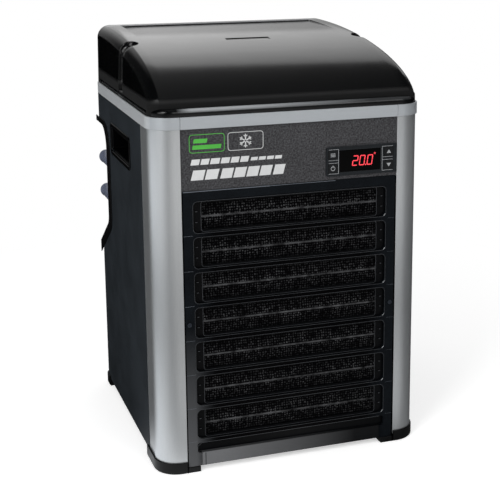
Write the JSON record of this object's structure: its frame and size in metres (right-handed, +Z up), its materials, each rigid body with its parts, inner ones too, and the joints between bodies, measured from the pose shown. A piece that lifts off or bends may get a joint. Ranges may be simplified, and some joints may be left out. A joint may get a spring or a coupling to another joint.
{
  "type": "aquarium chiller",
  "caption": "Upright aquarium chiller with rounded aluminium pillars, slotted filter grille, small temperature controller, lift-off domed hood and swivelling hose elbows.",
  "frame": {"origin": "on the floor, under the middle of the overall box", "axes": "+X to the right seen from the front, -Y the front with the grille, +Z up"},
  "size_m": [0.37, 0.381, 0.556],
  "materials": {
    "case_paint": "fine-textured charcoal powder coat",
    "pillar_aluminium": "satin anodised",
    "rail_aluminium": "satin anodised",
    "hood_gloss": "high gloss black moulding",
    "foot_plastic": "fine moulded grain",
    "black_moulding": "satin black moulding",
    "grille_plastic": "semi-gloss blue-black moulding",
    "filter_net": "woven black net",
    "panel_paint": "speckled metallic dark grey",
    "controller_plastic": "satin black",
    "display_window": "smoked window",
    "display_digits": "lit red digits",
    "printed_marks": "light grey print",
    "key_rubber": "soft dark grey",
    "pin_steel": "dark plated",
    "screw_steel": "zinc plated",
    "fitting_plastic": "semi-gloss dark grey",
    "seal_rubber": "black",
    "fin_aluminium": "mill finish",
    "copper": "drawn copper",
    "fan_plastic": "black",
    "unit_paint": "black enamel",
    "bracket_steel": "galvanised",
    "vessel_plastic": "blue-black moulding",
    "box_plastic": "pale grey"
  },
  "bodies": {
    "case": {"base_tray": "case_paint", "foot_front_left": "foot_plastic", "foot_front_right": "foot_plastic", "foot_rear_left": "foot_plastic", "foot_rear_right": "foot_plastic", "pillar_left": "pillar_aluminium", "pillar_right": "pillar_aluminium", "side_panel_left": "case_paint", "side_panel_right": "case_paint", "hand_hold_left": "black_moulding", "hand_hold_right": "black_moulding", "rear_cover": "case_paint", "rear_cover_screws": "screw_steel", "rail_front": "rail_aluminium", "rail_left": "rail_aluminium", "rail_right": "rail_aluminium", "rail_rear": "rail_aluminium", "top_plate": "case_paint", "front_panel": "panel_paint", "controller": "controller_plastic", "display_window": "display_window", "connector_bay": "black_moulding", "water_socket_upper": "fitting_plastic", "water_socket_lower": "fitting_plastic", "elbow_seals": "seal_rubber", "mains_gland": "black_moulding", "condenser_fins": "fin_aluminium", "condenser_tubes": "copper", "return_bends": "copper", "fan_shroud": "case_paint", "fan_bracket": "bracket_steel", "fan_motor": "unit_paint", "compressor": "unit_paint", "terminal_cover": "fan_plastic", "grommets": "seal_rubber", "discharge_pipe": "copper", "liquid_pipe": "copper", "suction_pipe": "copper", "filter_drier": "copper", "vessel": "vessel_plastic", "vessel_stool": "bracket_steel", "water_pipes": "seal_rubber", "temperature_probe": "pin_steel", "control_box": "box_plastic"},
    "hood": {"hood": "hood_gloss"},
    "grille": {"grille": "grille_plastic", "grille_pins": "pin_steel", "filter_frame": "grille_plastic", "filter_mesh": "filter_net"},
    "key_set": {"key_set": "key_rubber"},
    "key_power": {"key_power": "key_rubber"},
    "key_up": {"key_up": "key_rubber"},
    "key_down": {"key_down": "key_rubber"},
    "elbow_upper": {"elbow_upper": "fitting_plastic"},
    "elbow_lower": {"elbow_lower": "fitting_plastic"},
    "fan": {"fan": "fan_plastic"}
  },
  "joints": [
    {"name": "hood_lift", "type": "slide", "parent": "case", "child": "hood", "axis": [0, 0, 1], "range_m": [0, 0.15]},
    {"name": "grille_pull", "type": "slide", "parent": "case", "child": "grille", "axis": [0, -1, 0], "range_m": [0, 0.06]},
    {"name": "fan_spin", "type": "hinge", "parent": "case", "child": "fan", "pos_m": [0, -0.1109, 0.20393], "axis": [0, 1, 0], "continuous": true},
    {"name": "key_set_press", "type": "slide", "parent": "case", "child": "key_set", "axis": [0, 1, 0], "range_m": [0, 0.0006], "stiffness_N_per_m": 400},
    {"name": "key_power_press", "type": "slide", "parent": "case", "child": "key_power", "axis": [0, 1, 0], "range_m": [0, 0.0006], "stiffness_N_per_m": 400},
    {"name": "key_up_press", "type": "slide", "parent": "case", "child": "key_up", "axis": [0, 1, 0], "range_m": [0, 0.0006], "stiffness_N_per_m": 400},
    {"name": "key_down_press", "type": "slide", "parent": "case", "child": "key_down", "axis": [0, 1, 0], "range_m": [0, 0.0006], "stiffness_N_per_m": 400},
    {"name": "elbow_upper_turn", "type": "hinge", "parent": "case", "child": "elbow_upper", "pos_m": [-0.171, 0.18, 0.35661], "axis": [0, 1, 0], "continuous": true},
    {"name": "elbow_lower_turn", "type": "hinge", "parent": "case", "child": "elbow_lower", "pos_m": [-0.171, 0.18, 0.30461], "axis": [0, 1, 0], "continuous": true}
  ]
}
